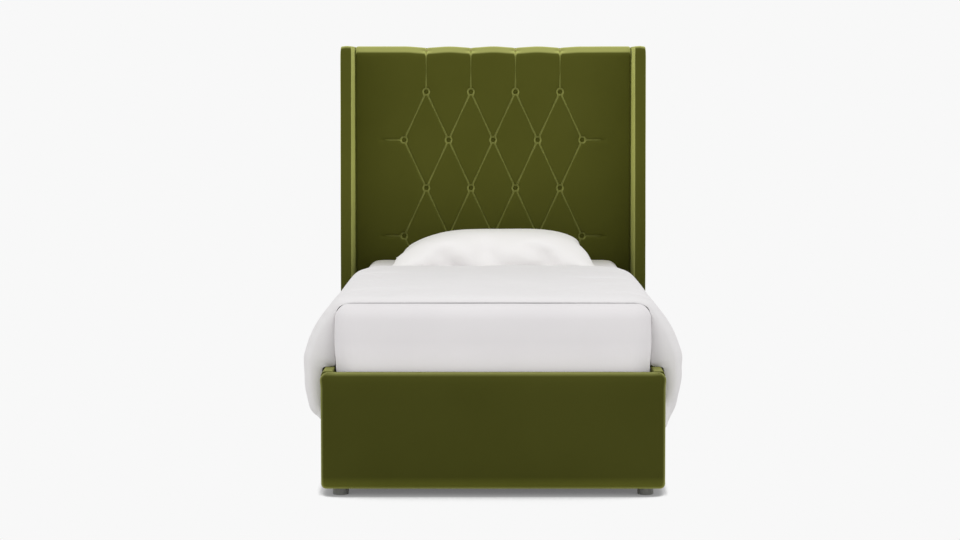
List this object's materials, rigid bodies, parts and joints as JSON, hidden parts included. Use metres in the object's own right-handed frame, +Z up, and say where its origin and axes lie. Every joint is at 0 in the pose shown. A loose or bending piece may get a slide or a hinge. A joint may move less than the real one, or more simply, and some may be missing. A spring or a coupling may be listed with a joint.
{
  "type": "wingback bed",
  "caption": "Single bed with a tall diamond-tufted velvet headboard between two wings, padded rails on short round feet, slats, mattress and bedding.",
  "frame": {"origin": "on the floor, in the middle of the bed's length and width", "axes": "+Z up, +Y towards the headboard, +X to the right as seen from the foot of the bed"},
  "size_m": [1.1751, 2.065, 1.413],
  "materials": {
    "green_velvet": "matte",
    "mattress_ticking": "matte",
    "sheet_cotton": "matte",
    "duvet_cotton": "matte",
    "pillow_cotton": "matte",
    "plywood": "matte",
    "frame_wood": "matte",
    "slat_wood": "matte",
    "webbing": "matte",
    "foot_plastic": "satin",
    "zinc_steel": "satin"
  },
  "bodies": {
    "bed_frame": {"headboard_stile_left": "frame_wood", "headboard_stile_right": "frame_wood", "headboard_top_rail": "frame_wood", "headboard_middle_rail": "frame_wood", "headboard_bottom_rail": "frame_wood", "headboard_board": "plywood", "headboard_pad": "green_velvet", "tuft_buttons": "green_velvet", "button_ties": "webbing", "headboard_back_cover": "green_velvet", "headboard_lower_cover": "green_velvet", "wing_left_board": "plywood", "wing_right_board": "plywood", "wing_left_cover": "green_velvet", "wing_right_cover": "green_velvet", "wing_bolts": "zinc_steel", "side_rail_left_board": "plywood", "side_rail_right_board": "plywood", "side_rail_left_cover": "green_velvet", "side_rail_right_cover": "green_velvet", "foot_rail_board": "plywood", "foot_rail_cover": "green_velvet", "corner_block_left": "frame_wood", "corner_block_right": "frame_wood", "corner_bolts": "zinc_steel", "post_plate_left": "zinc_steel", "post_plate_right": "zinc_steel", "rail_hook_left": "zinc_steel", "rail_hook_right": "zinc_steel", "plate_screws": "zinc_steel", "ledger_left": "frame_wood", "ledger_right": "frame_wood", "ledger_screws": "zinc_steel", "center_beam": "frame_wood", "beam_saddle_head": "zinc_steel", "beam_saddle_foot": "zinc_steel", "saddle_screws": "zinc_steel", "center_leg": "frame_wood", "center_leg_bolt": "zinc_steel", "center_leg_leveler": "foot_plastic", "slat_01": "slat_wood", "slat_02": "slat_wood", "slat_03": "slat_wood", "slat_04": "slat_wood", "slat_05": "slat_wood", "slat_06": "slat_wood", "slat_07": "slat_wood", "slat_08": "slat_wood", "slat_09": "slat_wood", "slat_10": "slat_wood", "slat_webbing": "webbing", "foot_front_left": "foot_plastic", "foot_front_right": "foot_plastic", "foot_rear_left": "foot_plastic", "foot_rear_right": "foot_plastic", "foot_studs": "zinc_steel"},
    "mattress": {"mattress": "mattress_ticking", "fitted_sheet": "sheet_cotton"},
    "duvet": {"duvet": "duvet_cotton"},
    "pillow": {"pillow": "pillow_cotton"}
  },
  "joints": [
    {"name": "mattress_lift", "type": "slide", "parent": "bed_frame", "child": "mattress", "axis": [0, 0, 1], "range_m": [0, 0.6]},
    {"name": "duvet_lift", "type": "slide", "parent": "mattress", "child": "duvet", "axis": [0, 0, 1], "range_m": [0, 0.5]},
    {"name": "pillow_lift", "type": "slide", "parent": "mattress", "child": "pillow", "axis": [0, 0, 1], "range_m": [0, 0.5]}
  ]
}
